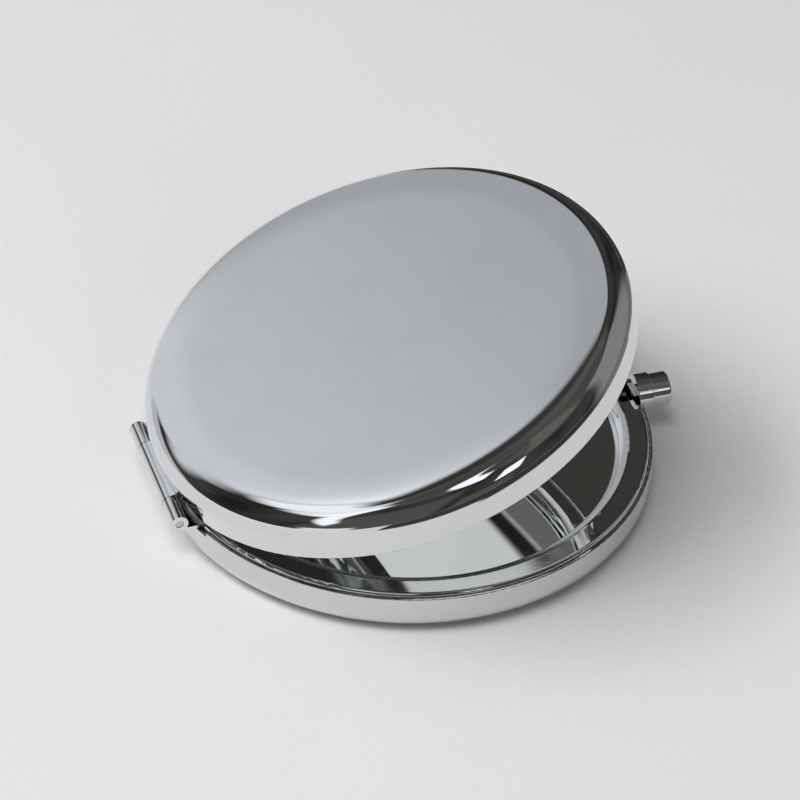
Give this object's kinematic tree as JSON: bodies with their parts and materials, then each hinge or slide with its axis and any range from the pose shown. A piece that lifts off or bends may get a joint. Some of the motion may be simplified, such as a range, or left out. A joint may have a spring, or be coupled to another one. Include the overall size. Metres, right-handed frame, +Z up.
{
  "type": "compact mirror",
  "caption": "Round polished clamshell pocket mirror: hinged lid, framed plain and magnifying glasses, push-button catch.",
  "frame": {"origin": "centre of the base's flat underside", "axes": "+Z up out of the base, +X from the hinge towards the push button, +Y along the hinge axis"},
  "size_m": [0.0763, 0.07, 0.0356],
  "materials": {
    "shell_chrome": "bright polished plating, fine handling marks",
    "frame_chrome": "bright polished plating",
    "hinge_chrome": "bright plating",
    "pin_steel": "drawn wire, cut ends",
    "collar_chrome": "bright plating",
    "button_chrome": "turned and plated",
    "spring_steel": "spring wire",
    "catch_steel": "plain stamped sheet",
    "rivet_steel": "plain",
    "mirror_glass": "silvered float glass",
    "pad_foam": "closed-cell foam"
  },
  "bodies": {
    "base": {"base_shell": "shell_chrome", "base_frame": "frame_chrome", "base_mirror": "mirror_glass", "base_mirror_pad": "pad_foam", "base_hinge_leaf": "hinge_chrome", "hinge_pin": "pin_steel", "button_collar": "collar_chrome"},
    "button": {"push_button": "button_chrome", "catch_plate": "catch_steel", "button_spring": "spring_steel"},
    "lid": {"lid_shell": "shell_chrome", "lid_frame": "frame_chrome", "lid_mirror": "mirror_glass", "lid_mirror_pad": "pad_foam", "lid_hinge_leaf": "hinge_chrome", "lid_keeper": "catch_steel", "keeper_rivets": "rivet_steel"}
  },
  "joints": [
    {"name": "lid_hinge", "type": "hinge", "parent": "base", "child": "lid", "pos_m": [-0.03575, 0, 0.0069], "axis": [0, -1, 0], "range_deg": [-19.2, 155.8]},
    {"name": "button_slide", "type": "slide", "parent": "base", "child": "button", "axis": [-1, 0, 0], "range_m": [0, 0.001], "stiffness_N_per_m": 400, "springref_m": -0.001, "deforming": ["button_spring"]}
  ]
}
